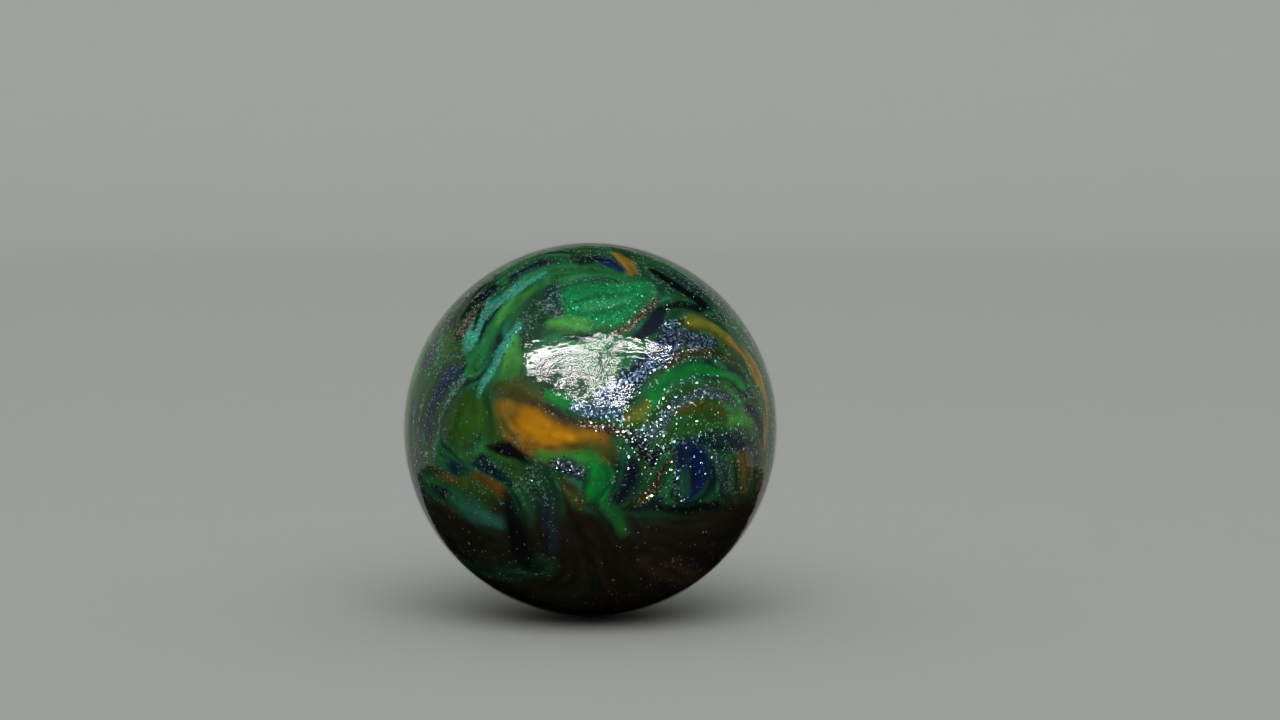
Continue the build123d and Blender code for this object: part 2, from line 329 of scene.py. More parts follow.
class Globe:
    """Numbers on a longitude and latitude grid, read back smoothly at any direction."""

    def __init__(self, rows, values_at):
        self.rows = rows
        self.columns = 2 * rows
        latitude = np.linspace(-0.5 * math.pi, 0.5 * math.pi, rows + 1)
        longitude = np.linspace(-math.pi, math.pi, self.columns + 1)
        up = np.sin(latitude)[:, None] * np.ones_like(longitude)
        east = np.cos(latitude)[:, None] * np.sin(longitude)
        south = np.cos(latitude)[:, None] * np.cos(longitude)
        grid = np.stack([east, -south, up], axis=-1)
        values = values_at(grid.reshape(-1, 3))
        self.values = values.reshape(rows + 1, self.columns + 1, -1)

    def at(self, directions):
        row = (np.arcsin(np.clip(directions[:, 2], -1, 1)) / math.pi + 0.5) * self.rows
        column = (np.arctan2(directions[:, 0], -directions[:, 1]) / math.tau + 0.5) * self.columns
        i = np.clip(row.astype(int), 0, self.rows - 1)
        j = np.clip(column.astype(int), 0, self.columns - 1)
        u, v = (row - i)[:, None], (column - j)[:, None]
        low = self.values[i, j] * (1 - v) + self.values[i, j + 1] * v
        high = self.values[i + 1, j] * (1 - v) + self.values[i + 1, j + 1] * v
        return low * (1 - u) + high * u


def near_polyline(directions, starts, ends):
    """The nearest point on any chord to each direction, its distance, its chord and how far along."""
    along = ends - starts
    length_squared = (along * along).sum(axis=1)
    best = np.full(len(directions), np.inf)
    nearest = np.zeros((len(directions), 3))
    which = np.zeros(len(directions), int)
    share_at = np.zeros(len(directions))
    for i in range(len(starts)):
        share = np.clip(((directions - starts[i]) @ along[i]) / length_squared[i], 0.0, 1.0)
        point = starts[i] + share[:, None] * along[i]
        distance = np.linalg.norm(directions - point, axis=1)
        closer = distance < best
        best[closer] = distance[closer]
        nearest[closer] = point[closer]
        which[closer] = i
        share_at[closer] = share[closer]
    return nearest, best, which, share_at


def outline_of(node):
    """The loop of chords where a CAD mass's outer face ends, read from its mesh."""
    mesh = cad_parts[node].data
    places = np.array([vertex.co[:] for vertex in mesh.vertices])
    keys = {}
    merged = np.zeros(len(places), int)
    for i, place in enumerate(np.round(places / (0.001 * MM)).astype(int)):
        merged[i] = keys.setdefault(tuple(place), i)
    outer = np.linalg.norm(places, axis=1) > MARBLING_RADIUS - 0.1 * MM
    uses = {}
    for polygon in mesh.polygons:
        corners = [merged[i] for i in polygon.vertices]
        if not all(outer[i] for i in corners):
            continue
        for a, b in zip(corners, corners[1:] + corners[:1]):
            uses.setdefault((min(a, b), max(a, b)), []).append((a, b))
    edges = np.array([found[0] for found in uses.values() if len(found) == 1])
    return unit(places[edges[:, 0]]), unit(places[edges[:, 1]])


def inside_share(directions, starts, ends, centre):
    """True for each direction inside the loop, by counting crossings in a flat view from centre."""
    east = unit(np.cross(centre, (0.13, 0.29, 0.94)))
    north = np.cross(centre, east)

    def flat(v):
        return np.stack([v @ east, v @ north], axis=1) / (v @ centre)[:, None]

    point, a, b = flat(directions), flat(starts), flat(ends)
    inside = np.zeros(len(point), bool)
    for i in range(len(a)):
        spans = (a[i, 1] > point[:, 1]) != (b[i, 1] > point[:, 1])
        rise = b[i, 1] - a[i, 1]
        if rise == 0.0:
            continue
        cross_at = a[i, 0] + (point[:, 1] - a[i, 1]) * (b[i, 0] - a[i, 0]) / rise
        inside ^= spans & (point[:, 0] < cross_at)
    return inside


class Outline:
    """A CAD mass's footprint on the ball."""

    def __init__(self, node):
        self.starts, self.ends = outline_of(node)
        self.centre = unit(self.starts.mean(axis=0))
        self.reach = np.arccos(np.clip(self.starts @ self.centre, -1, 1)).max()

    def depth(self, directions, margin):
        """Radians inside the footprint, negative outside, and the nearest point of its edge."""
        depth = np.full(len(directions), -math.pi)
        nearest = np.zeros((len(directions), 3))
        close = np.nonzero(directions @ self.centre > math.cos(min(self.reach + margin, 1.4)))[0]
        point, distance, _, _ = near_polyline(directions[close], self.starts, self.ends)
        inside = inside_share(directions[close], self.starts, self.ends, self.centre)
        depth[close] = np.where(inside, distance, -distance)
        nearest[close] = unit(point)
        return depth, nearest


def streak_depth(directions, points):
    """Radians inside a streak with the given middle line and half widths, negative outside."""
    middle = np.array([direction(longitude, latitude) for longitude, latitude, _ in points])
    half = np.radians([half_width for _, _, half_width in points])
    _, distance, which, share = near_polyline(directions, middle[:-1], middle[1:])
    width = half[which] * (1.0 - share) + half[which + 1] * share
    return width - distance


FLOW_ROWS = 90
GRAIN_ROWS = 360
FLOW_REACH = math.radians(1.6)


def flow_globe(outlines):
    """The way the colours were drawn out at each place, as a sum of each direction's product with
    itself, so that opposite directions agree: along the edges of the masses and streaks."""
    chords = [(outline.starts, outline.ends) for outline in outlines.values()]
    for streak in STREAKS:
        middle = np.array([direction(longitude, latitude) for longitude, latitude, _ in streak[-1]])
        chords.append((middle[:-1], middle[1:]))

    def products(directions):
        total = np.zeros((len(directions), 3, 3))
        for starts, ends in chords:
            _, distance, which, _ = near_polyline(directions, starts, ends)
            along = unit(ends - starts)[which]
            weight = (distance ** 2 + FLOW_REACH ** 2) ** -1.5
            total += weight[:, None, None] * along[:, :, None] * along[:, None, :]
        total /= np.trace(total, axis1=1, axis2=2)[:, None, None]
        return total.reshape(len(directions), 9)

    return Globe(FLOW_ROWS, products)


def drawn_out(directions, flow, grain, reach, steps):
    """Random grain smeared along the flow, to that many degrees each way: about -1 to 1."""
    step = math.radians(reach) / steps
    total = grain.at(directions)[:, 0]
    for way in (1.0, -1.0):
        place = directions
        heading = np.tile(np.array((0.35, 0.45, 0.82)) * way, (len(directions), 1))
        for _ in range(4):
            heading = unit(np.einsum("nij,nj->ni", flow.at(place).reshape(-1, 3, 3), heading))
        for _ in range(steps):
            place = unit(place + heading * step)
            heading = np.einsum("nij,nj->ni", flow.at(place).reshape(-1, 3, 3), heading)
            heading = unit(heading - place * (heading * place).sum(axis=1)[:, None])
            total = total + grain.at(place)[:, 0]
    return total / math.sqrt(2 * steps + 1) / 1.6


def grain_of(waves_round):
    return lambda directions: waves(directions, waves_round, SEED + 500 + int(waves_round), 40)


class Marbling:
    """The flow of the whole ball and the streaky patterns that follow it."""

    def __init__(self, outlines):
        self.outlines = outlines
        self.flow = flow_globe(outlines)
        self.grains = [Globe(GRAIN_ROWS, grain_of(fineness)) for fineness in (26.0, 60.0, 110.0)]

    def look(self, directions):
        """Pigment, glitter share and glitter colour at each direction."""
        wide = drawn_out(directions, self.flow, self.grains[0], 22.0, 16)
        thin = drawn_out(directions, self.flow, self.grains[1], 10.0, 14)
        fine = drawn_out(directions, self.flow, self.grains[2], 4.5, 10)
        look = ground_look(directions, wide, thin, fine)
        places = warped(directions, 9.0, 0.9, SEED + 300)
        places = warped(places, 30.0, 0.35, SEED + 310)
        feather = np.radians(0.9 * thin + 0.6 * fine)
        for node, (pigment, share, flake, softness) in MASS_LOOKS.items():
            depth, _ = self.outlines[node].depth(places, math.radians(9.0))
            depth += feather * min(1.0, 0.4 + 0.2 * softness)
            lay(look, depth, softness, 1.0, pigment, share, flake)
        for pigment, share, flake, softness, opacity, points in STREAKS:
            depth = streak_depth(places, points) + 0.6 * feather
            lay(look, depth, softness, opacity, pigment, share, flake)
        colour, glitter, tint = look
        glitter = np.clip(glitter * (1.0 + 0.35 * thin + 0.35 * fine), 0.0, 1.0)
        streaks = np.clip(1.0 + 0.28 * thin + 0.22 * fine, 0.3, 2.0)
        return colour * streaks[:, None], glitter, tint


def blend(values, target, share):
    values += (np.array(target) - values) * share[:, None]


def ground_look(directions, wide, thin, fine):
    """Green resin between the masses, drawn out into streaks, and darker towards the underside: partly dark
    resin, partly painted shade with a painted reddish reflection.
    """
    shade = smooth_step(0.45 + 0.45 * waves(directions, 6.0, SEED + 210) + 0.45 * wide)
    colour = np.tile(np.array(DEEP_GREEN), (len(directions), 1))
    blend(colour, GREEN, shade)
    drift = waves(directions, 7.0, SEED + 220)
    cluster = smooth_step(0.3 + 0.5 * thin + 0.6 * drift + 0.3 * fine)
    glitter = 0.03 + 0.30 * cluster
    tint = np.tile(0.5 * np.array(SILVER) + 0.5 * np.array(PALE_FLAKE), (len(directions), 1))
    blend(colour, NAVY, 0.90 * smooth_step(1.8 * (wide + 0.4 * drift - 0.40)))
    blend(colour, OLIVE, 0.90 * smooth_step(1.8 * (-wide + 0.5 * drift - 0.40)))
    blend(colour, BLACK, 0.85 * smooth_step(2.4 * (thin - 0.60)))
    blend(colour, TEAL, 0.55 * smooth_step(2.4 * (-thin - 0.80)))
    blend(colour, LEAF_GREEN, 0.55 * smooth_step(2.2 * (-thin * 0.7 + 0.5 * drift - 0.65)))
    # Painted shade: below about 11 degrees south the ground goes over to reddish umber, partly dark resin
    # and partly painted shade with a painted reflection of a red stand; glitter fades with it.
    latitude = np.degrees(np.arcsin(directions[:, 2])) + 5.0 * drift + 3.0 * wide
    painted_shade_below = smooth_step((-11.0 - latitude) / 14.0)
    blend(colour, UMBER_AND_PAINTED_SHADE, 0.93 * painted_shade_below)
    glitter *= 1.0 - 0.92 * painted_shade_below
    return colour, glitter, tint


def lay(look, depth, softness, opacity, pigment, share, flake):
    """Lay one colour over the look so far where depth is positive."""
    colour, glitter, tint = look
    cover = opacity * smooth_step(0.5 + depth / math.radians(softness))
    glitter_cover = opacity * smooth_step(0.5 + depth / math.radians(0.7 * softness))
    blend(colour, pigment, cover)
    glitter += (share - glitter) * glitter_cover
    blend(tint, flake, glitter_cover)


def split_by_mass(directions, triangles, outlines):
    """Snap vertices onto the masses' edges and give each triangle the node it belongs to."""
    spacing = np.linalg.norm(directions[triangles[:, 0]] - directions[triangles[:, 1]], axis=1).mean()
    best = np.full(len(directions), -math.pi)
    owner = np.full(len(directions), -1)
    edge_point = directions.copy()
    names = list(outlines)
    for i, node in enumerate(names):
        depth, nearest = outlines[node].depth(directions, math.radians(2.0))
        closer = depth > best
        best[closer] = depth[closer]
        owner[closer] = i
        edge_point[closer] = nearest[closer]
    snapped = np.abs(best) < 0.56 * spacing
    directions = directions.copy()
    directions[snapped] = edge_point[snapped]
    best[snapped] = 0.0
    corner_depth = best[triangles]
    face_owner = owner[triangles][np.arange(len(triangles)), corner_depth.argmax(axis=1)]
    face_owner[corner_depth.sum(axis=1) <= 0.0] = -1
    return directions, [("dark_ground", face_owner == -1)] + [
        (node, face_owner == i) for i, node in enumerate(names)
    ]


def surface_normals(places, triangles):
    """Smooth outward normals of a closed surface."""
    a, b, c = (places[triangles[:, i]] for i in range(3))
    facing = np.cross(b - a, c - a)
    normals = np.zeros_like(places)
    for i in range(3):
        np.add.at(normals, triangles[:, i], facing)
    return unit(normals)


def solid_from_patch(name, ball, outer, inner, normals, mine):
    """A closed piece: an outer patch of small triangles, walls round its edges, and an inner face
    of whole blocks where it can be. Returns it and the ball's vertex behind each of its own."""
    triangles = ball.triangles[mine]
    sides = np.concatenate([triangles[:, pair] for pair in ([0, 1], [1, 2], [2, 0])]).tolist()
    present = set(map(tuple, sides))
    rim = np.array([(a, b) for a, b in sides if (b, a) not in present], dtype=int).reshape(-1, 2)
    covered = np.bincount(ball.blocks_of[mine], minlength=len(ball.loops))
    whole = covered == np.bincount(ball.blocks_of, minlength=len(ball.loops))
    small = ball.triangles[mine & ~whole[ball.blocks_of]]
    needed = np.zeros(len(outer), bool)
    needed[small.ravel()] = True
    needed[rim.ravel()] = True
    inner_faces = small[:, ::-1].tolist()
    block = len(ball.loops[0]) // 3
    for i in np.nonzero(whole)[0]:
        loop = [v for k, v in enumerate(ball.loops[i]) if k % block == 0 or needed[v]]
        inner_faces.append(loop[::-1])
    outer_used = np.unique(triangles)
    inner_used = np.unique([v for face in inner_faces for v in face])
    outer_index = np.full(len(outer), -1)
    outer_index[outer_used] = np.arange(len(outer_used))
    inner_index = np.full(len(outer), -1)
    inner_index[inner_used] = len(outer_used) + np.arange(len(inner_used))
    walls = np.stack([outer_index[rim[:, 1]], outer_index[rim[:, 0]],
                      inner_index[rim[:, 0]], inner_index[rim[:, 1]]], axis=1)
    faces = outer_index[triangles].tolist()
    faces += [[int(inner_index[v]) for v in face] for face in inner_faces]
    faces += walls.tolist()
    places = np.concatenate([outer[outer_used], inner[inner_used]])
    mesh = bpy.data.meshes.new(name)
    mesh.from_pydata(places, [], faces)
    corner_normals = [normals[triangles].reshape(-1, 3)]
    corner_normals.append(-unit(inner[[v for face in inner_faces for v in face]]))
    if len(walls):
        across = places[walls[:, 1]] - places[walls[:, 0]]
        down = places[walls[:, 3]] - places[walls[:, 0]]
        corner_normals.append(np.repeat(unit(np.cross(across, down)), 4, axis=0))
    mesh.polygons.foreach_set("use_smooth", np.ones(len(faces), bool))
    mesh.normals_split_custom_set(np.concatenate(corner_normals))
    return put_in_scene(name, mesh), np.concatenate([outer_used, inner_used])


def store(mesh, name, kind, values):
    attribute = mesh.attributes.new(name, kind, "POINT")
    key = {"FLOAT": "value", "FLOAT_VECTOR": "vector"}[kind]
    attribute.data.foreach_set(key, np.ascontiguousarray(values, np.float32).ravel())


def put_in_scene(name, data):
    thing = bpy.data.objects.new(name, data)
    bpy.context.scene.collection.objects.link(thing)
    return thing


# Materials

def new_material(name):
    material = bpy.data.materials.new(name)
    material.use_nodes = True
    tree = material.node_tree
    tree.nodes.clear()
    output = tree.nodes.new("ShaderNodeOutputMaterial")
    return material, tree, output


def add(tree, kind, **settings):
    node = tree.nodes.new(kind)
    for name, value in settings.items():
        setattr(node, name, value)
    return node


def plug(tree, socket, value):
    if isinstance(value, bpy.types.NodeSocket):
        tree.links.new(value, socket)
    else:
        socket.default_value = value


def maths(tree, operation, *values, clamp=False):
    node = add(tree, "ShaderNodeMath", operation=operation, use_clamp=clamp)
    for socket, value in zip(node.inputs, values):
        plug(tree, socket, value)
    return node.outputs[0]


def vector_maths(tree, operation, first, second=None, scale=None):
    node = add(tree, "ShaderNodeVectorMath", operation=operation)
    plug(tree, node.inputs[0], first)
    if second is not None:
        plug(tree, node.inputs[1], second)
    if scale is not None:
        plug(tree, node.inputs["Scale"], scale)
    return node.outputs[0]


def mix_colour(tree, share, first, second):
    node = add(tree, "ShaderNodeMix", data_type="RGBA")
    plug(tree, node.inputs[0], share)
    plug(tree, node.inputs[6], first)
    plug(tree, node.inputs[7], second)
    return node.outputs[2]


def attribute_of(tree, name):
    return add(tree, "ShaderNodeAttribute", attribute_name=name)


def principled(tree, output, inputs):
    """A principled surface with those inputs, as the material's output."""
    surface = add(tree, "ShaderNodeBsdfPrincipled")
    for name, value in inputs.items():
        plug(tree, surface.inputs[name], value)
    tree.links.new(surface.outputs[0], output.inputs["Surface"])


def noise(tree, place, scale, detail=2.0, distortion=0.0):
    node = add(tree, "ShaderNodeTexNoise")
    plug(tree, node.inputs["Vector"], place)
    node.inputs["Scale"].default_value = scale
    node.inputs["Detail"].default_value = detail
    node.inputs["Distortion"].default_value = distortion
    return node.outputs["Fac"]


def glitter_layer(tree, place, size, share):
    """Flakes in cells of about that size: how much of each point is flake, a random number for
    each flake, and the lean of its face."""
    cells = add(tree, "ShaderNodeTexVoronoi", feature="F1")
    tree.links.new(place, cells.inputs["Vector"])
    cells.inputs["Scale"].default_value = 1.0 / size
    split = add(tree, "ShaderNodeSeparateColor")
    tree.links.new(cells.outputs["Color"], split.inputs[0])
    chosen = maths(tree, "LESS_THAN", split.outputs[0], share)
    edge = maths(tree, "SUBTRACT", 0.62, cells.outputs["Distance"])
    body = maths(tree, "MULTIPLY", edge, 9.0, clamp=True)
    flake = maths(tree, "MULTIPLY", chosen, body)
    lean = vector_maths(tree, "SUBTRACT", cells.outputs["Color"], (0.5, 0.5, 0.5))
    return flake, split.outputs[1], lean


COARSE_GLITTER = 0.42 * MM
FINE_GLITTER = 0.24 * MM


def marbled_resin():
    """Coloured resin with glitter in it, from the pigment and glitter stored on the mesh."""
    material, tree, output = new_material("marbled_resin")
    pigment = attribute_of(tree, "pigment").outputs["Color"]
    share = attribute_of(tree, "glitter").outputs["Fac"]
    tint = attribute_of(tree, "flake_tint").outputs["Color"]
    place = add(tree, "ShaderNodeTexCoord").outputs["Object"]

    coarse_share = maths(tree, "MULTIPLY", share, 0.55)
    coarse, coarse_random, coarse_lean = glitter_layer(tree, place, COARSE_GLITTER, coarse_share)
    fine, fine_random, fine_lean = glitter_layer(tree, place, FINE_GLITTER, share)
    flake = maths(tree, "MAXIMUM", coarse, fine)
    random = mix_colour(tree, coarse, fine_random, coarse_random)
    shade = maths(tree, "MULTIPLY_ADD", maths(tree, "POWER", random, 2.2), 1.15, 0.05)
    lean = mix_colour(tree, coarse, fine_lean, coarse_lean)

    clouding = maths(tree, "MULTIPLY_ADD", noise(tree, place, 900.0, detail=5.0), 0.5, 0.75)
    resin = vector_maths(tree, "SCALE", pigment, scale=clouding)
    shaded_tint = vector_maths(tree, "SCALE", tint, scale=shade)
    least = vector_maths(tree, "SCALE", resin, scale=0.7)
    flake_colour = vector_maths(tree, "MAXIMUM", shaded_tint, least)

    normal = add(tree, "ShaderNodeNewGeometry").outputs["Normal"]
    leaning = vector_maths(tree, "SCALE", lean, scale=maths(tree, "MULTIPLY", flake, 1.1))
    flake_normal = vector_maths(tree, "NORMALIZE", vector_maths(tree, "ADD", normal, leaning))

    colour = mix_colour(tree, flake, resin, flake_colour)
    metallic = maths(tree, "MULTIPLY", flake, maths(tree, "MULTIPLY", random, 0.7))
    principled(tree, output, {
        "Base Color": colour,
        "Metallic": metallic,
        "Roughness": maths(tree, "MULTIPLY_ADD", flake, -0.12, 0.50),
        "Normal": flake_normal,
        "Specular IOR Level": 0.04,
        "Coat Weight": 0.08,
        "Coat Roughness": 0.05,
    })
    return material


COAT_IOR = 1.44
# Wrinkles in the gloss, coarse to fine: how many to the metre and how deep. They are flattened so
# that they run level, and bent by distorting the noise.
DIMPLES = (330.0, 0.060 * MM)
GROOVES = (700.0, 0.0018 * MM)
GROOVE_STEEPNESS = 7.0
PUCKERS = (1400.0, 0.0010 * MM)
WRINKLE_FLATTENING = (1.0, 1.0, 2.6)
WRINKLE_DISTORTION = 0.8


def clear_gloss():
    """Clear resin: what is under it shows, under a mirror at Fresnel strength on the outer side."""
    material, tree, output = new_material("clear_gloss")
    place = add(tree, "ShaderNodeTexCoord").outputs["Object"]
    flattened = vector_maths(tree, "MULTIPLY", place, WRINKLE_FLATTENING)

    scale, depth = DIMPLES
    dimples = noise(tree, flattened, scale, 1.5, WRINKLE_DISTORTION)
    height = maths(tree, "MULTIPLY", dimples, depth)
    scale, depth = GROOVES
    off_middle = maths(tree, "SUBTRACT", noise(tree, flattened, scale, 2.0, WRINKLE_DISTORTION), 0.5)
    off_middle = maths(tree, "ABSOLUTE", off_middle)
    plateau = maths(tree, "MULTIPLY", off_middle, GROOVE_STEEPNESS, clamp=True)
    height = maths(tree, "MULTIPLY_ADD", plateau, depth, height)
    scale, depth = PUCKERS
    puckers = noise(tree, flattened, scale, 2.0, WRINKLE_DISTORTION)
    height = maths(tree, "MULTIPLY_ADD", puckers, depth, height)
    height = maths(tree, "MULTIPLY", height, attribute_of(tree, "crinkle").outputs["Fac"])

    bump = add(tree, "ShaderNodeBump")
    bump.inputs["Strength"].default_value = 1.0
    bump.inputs["Distance"].default_value = 1.0
    tree.links.new(height, bump.inputs["Height"])
    fresnel = add(tree, "ShaderNodeFresnel")
    fresnel.inputs["IOR"].default_value = COAT_IOR
    tree.links.new(bump.outputs[0], fresnel.inputs["Normal"])
    outside = maths(tree, "SUBTRACT", 1.0, add(tree, "ShaderNodeNewGeometry").outputs["Backfacing"])
    clear = add(tree, "ShaderNodeBsdfTransparent")
    mirror = add(tree, "ShaderNodeBsdfGlossy")
    mirror.inputs["Roughness"].default_value = 0.02
    tree.links.new(bump.outputs[0], mirror.inputs["Normal"])
    mixed = add(tree, "ShaderNodeMixShader")
    tree.links.new(maths(tree, "MULTIPLY", fresnel.outputs[0], outside), mixed.inputs[0])
    tree.links.new(clear.outputs[0], mixed.inputs[1])
    tree.links.new(mirror.outputs[0], mixed.inputs[2])
    tree.links.new(mixed.outputs[0], output.inputs["Surface"])
    return material


def clear_inside():
    """The coat's inner face, bonded to the marbling, so nothing shows there."""
    material, tree, output = new_material("clear_inside")
    clear = add(tree, "ShaderNodeBsdfTransparent")
    tree.links.new(clear.outputs[0], output.inputs["Surface"])
    return material


def flake_metal():
    """Foil flakes, each with its own shade."""
    material, tree, output = new_material("flake_foil")
    colour = attribute_of(tree, "foil").outputs["Color"]
    principled(tree, output, {"Base Color": colour, "Metallic": 0.50, "Roughness": 0.38})
    return material


def core_resin():
    """Plain cast resin, off-white with faint clouding."""
    material, tree, output = new_material("core_resin")
    place = add(tree, "ShaderNodeTexCoord").outputs["Object"]
    clouds = noise(tree, place, 120.0)
    colour = mix_colour(tree, clouds, (0.62, 0.59, 0.48, 1), (0.78, 0.75, 0.66, 1))
    principled(tree, output, {"Base Color": colour, "Roughness": 0.35})
    return material


# Pieces


def make_marbling(outlines, marbling):
    ball = Geodesic(MARBLING_SPLITS, INNER_BLOCK)
    directions, owners = split_by_mass(ball.directions, ball.triangles, outlines)
    outer = directions * (MARBLING_RADIUS + unevenness(directions))[:, None]
    inner = directions * CORE_RADIUS
    normals = surface_normals(outer, ball.triangles)
    colour, glitter, tint = marbling.look(directions)
    resin = marbled_resin()
    for node, mine in owners:
        piece, behind = solid_from_patch(node + "_resin", ball, outer, inner, normals, mine)
        store(piece.data, "pigment", "FLOAT_VECTOR", colour[behind])
        store(piece.data, "flake_tint", "FLOAT_VECTOR", tint[behind])
        store(piece.data, "glitter", "FLOAT", glitter[behind])
        piece.data.materials.append(resin)
        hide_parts(node)
        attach(piece, BODY)


# Where the gloss is most wrinkled: points with longitude, latitude, half width in degrees
WRINKLED = [
    [(-20, 25, 3), (-14, 28, 4), (2, 29, 4), (14, 28, 3)],
    [(9, 19, 1.5), (15, 21.5, 3), (20, 24.5, 3.4), (24, 28, 2)],
    [(-14, 24, 1), (-10, 23, 2), (-2, 21.5, 1.6), (8, 22, 1.4)],
    [(148, 22, 2), (158, 26, 4), (170, 24, 2)],
    [(236, 30, 2), (246, 24, 4), (254, 16, 2)],
]


def crinkle_strength(directions):
    strength = 0.75 + 0.35 * waves(directions, 12.0, SEED + 130)
    for points in WRINKLED:
        strength += 0.9 * smooth_step(0.5 + streak_depth(directions, points) / math.radians(3.0))
    return np.clip(strength, 0.3, 3.0)


def make_coat():
    ball = Geodesic(COAT_SPLITS, COAT_INNER_BLOCK)
    directions, triangles = ball.directions, ball.triangles
    lift = unevenness(directions)
    ripples = waves(directions * (1.0, 1.0, 1.6), 34.0, SEED + 120, 60) * 0.014 * MM
    outer = directions * (BALL_RADIUS + lift + ripples)[:, None]
    inner = directions * (MARBLING_RADIUS + COAT_GAP + lift)[:, None]
    normals = surface_normals(outer, triangles)
    every = np.ones(len(triangles), bool)
    piece, behind = solid_from_patch("clear_coat_shell", ball, outer, inner, normals, every)
    piece.data.materials.append(clear_gloss())
    piece.data.materials.append(clear_inside())
    store(piece.data, "crinkle", "FLOAT", crinkle_strength(directions)[behind])
    inside = np.arange(len(piece.data.polygons)) >= len(triangles)
    piece.data.polygons.foreach_set("material_index", inside.astype(np.int32))
    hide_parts("clear_coat")
    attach(piece, BODY)


FLAKE_SIDES = 6
FLAKE_THICKNESS = 0.02 * MM
FLAKE_HALF_WIDTHS = (0.06 * MM, 0.12 * MM)
FLAKE_HEIGHTS = (0.06 * MM, 0.10 * MM)
FLAKE_TRIES = 60000


def make_flakes(marbling):
    """Larger flakes, afloat in the coat over the glittery colours."""
    random = np.random.default_rng(SEED)
    places = unit(random.normal(size=(FLAKE_TRIES, 3)))
    _, glitter, tint = marbling.look(places)
    keep = random.uniform(size=FLAKE_TRIES) < 0.10 * glitter ** 1.6
    places, tint = places[keep], tint[keep]
    count = len(places)
    half_width = random.uniform(*FLAKE_HALF_WIDTHS, count)
    height = MARBLING_RADIUS + unevenness(places) + random.uniform(*FLAKE_HEIGHTS, count)
    facing = unit(places + random.normal(scale=0.20, size=(count, 3)))
    across = unit(np.cross(facing, unit(random.normal(size=(count, 3)))))
    up = np.cross(facing, across)
    centre = places * height[:, None]
    corners = []
    for level in (-0.5, 0.5):
        for i in range(FLAKE_SIDES):
            turn = math.tau * i / FLAKE_SIDES
            rim = across * math.cos(turn) + up * math.sin(turn)
            corners.append(centre + rim * half_width[:, None] + facing * level * FLAKE_THICKNESS)
    corners = np.stack(corners, axis=1)
    shade = tint * random.uniform(0.45, 0.95, (count, 1))
    groups = {"silver_flakes": tint.argmax(axis=1) == 2, "gold_flakes": tint.argmax(axis=1) == 0}
    groups["green_flakes"] = ~(groups["silver_flakes"] | groups["gold_flakes"])
    foil = flake_metal()
    low, high = list(range(FLAKE_SIDES)), list(range(FLAKE_SIDES, 2 * FLAKE_SIDES))
    pattern = [low[::-1], high]
    for i in range(FLAKE_SIDES):
        j = (i + 1) % FLAKE_SIDES
        pattern.append([low[i], low[j], high[j], high[i]])
    for name, mine in groups.items():
        points = corners[mine].reshape(-1, 3)
        faces = []
        for first in range(0, len(points), 2 * FLAKE_SIDES):
            faces += [[first + i for i in face] for face in pattern]
        mesh = bpy.data.meshes.new(name)
        mesh.from_pydata(points, [], faces)
        store(mesh, "foil", "FLOAT_VECTOR", np.repeat(shade[mine], 2 * FLAKE_SIDES, axis=0))
        mesh.materials.append(foil)
        piece = put_in_scene(name, mesh)
        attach(piece, BODY)
        print(name, int(mine.sum()), "flakes")


# Stage, light and camera

CAMERA_DISTANCE = 0.5
CAMERA_ELEVATION = 5.8
LENS = 91.9
AIM_RIGHT = 7.6 * MM
AIM_UP = 10.5 * MM
STAGE_GREY = (0.50, 0.51, 0.49, 1)
WORLD_GREY = (0.46, 0.475, 0.45, 1)


def stage_material():
    material, tree, output = new_material("stage_paper")
    place = add(tree, "ShaderNodeTexCoord").outputs["Object"]
    darker = tuple(0.985 * c for c in STAGE_GREY[:3]) + (1,)
    colour = mix_colour(tree, noise(tree, place, 40.0), darker, STAGE_GREY)
    principled(tree, output, {"Base Color": colour, "Roughness": 0.9, "Specular IOR Level": 0.2})
    return material


# The paper is seen in the gloss only from here back, so that the ball's lower front stays dark
SHEEN_FROM = 0.04


STAGE_FLAT, STAGE_BEND, STAGE_TOP = 1.1, 0.5, 0.75
STAGE_BEND_STEPS = 14
STAGE_SIDES = 96


def make_stage():
    """A pale sheet: a round floor that curves up into a low wall all round."""
    floor = -BALL_RADIUS - 0.12 * MM
    profile = [(STAGE_FLAT * share, floor) for share in (0.02, 0.1, 0.3, 0.6, 0.85)]
    for i in range(STAGE_BEND_STEPS + 1):
        turn = 0.5 * math.pi * i / STAGE_BEND_STEPS
        out, up = STAGE_BEND * math.sin(turn), STAGE_BEND * (1.0 - math.cos(turn))
        profile.append((STAGE_FLAT + out, floor + up))
    profile.append((STAGE_FLAT + STAGE_BEND, STAGE_TOP))
    round_count = STAGE_SIDES
    points = [(0.0, 0.0, floor)]
    for radius, height in profile:
        for i in range(round_count):
            turn = math.tau * i / round_count
            points.append((radius * math.cos(turn), radius * math.sin(turn), height))
    faces = [(0, 1 + i, 1 + (i + 1) % round_count) for i in range(round_count)]
    for ring in range(len(profile) - 1):
        for i in range(round_count):
            j = (i + 1) % round_count
            low, high = 1 + ring * round_count, 1 + (ring + 1) * round_count
            faces.append((low + i, high + i, high + j, low + j))
    points = np.array(points)
    behind = np.array([np.mean([points[v][1] for v in face]) > SHEEN_FROM for face in faces])
    paper = stage_material()
    for name, mirrored in (("stage_front", False), ("stage_back", True)):
        chosen = [face for face, back in zip(faces, behind) if back == mirrored]
        used = np.unique([v for face in chosen for v in face])
        place_of = {v: i for i, v in enumerate(used.tolist())}
        mesh = bpy.data.meshes.new(name)
        renumbered = [[place_of[v] for v in face] for face in chosen]
        mesh.from_pydata(points[used].tolist(), [], renumbered)
        mesh.polygons.foreach_set("use_smooth", [True] * len(chosen))
        mesh.materials.append(paper)
        sheet = put_in_scene(name, mesh)
        sheet.visible_glossy = mirrored


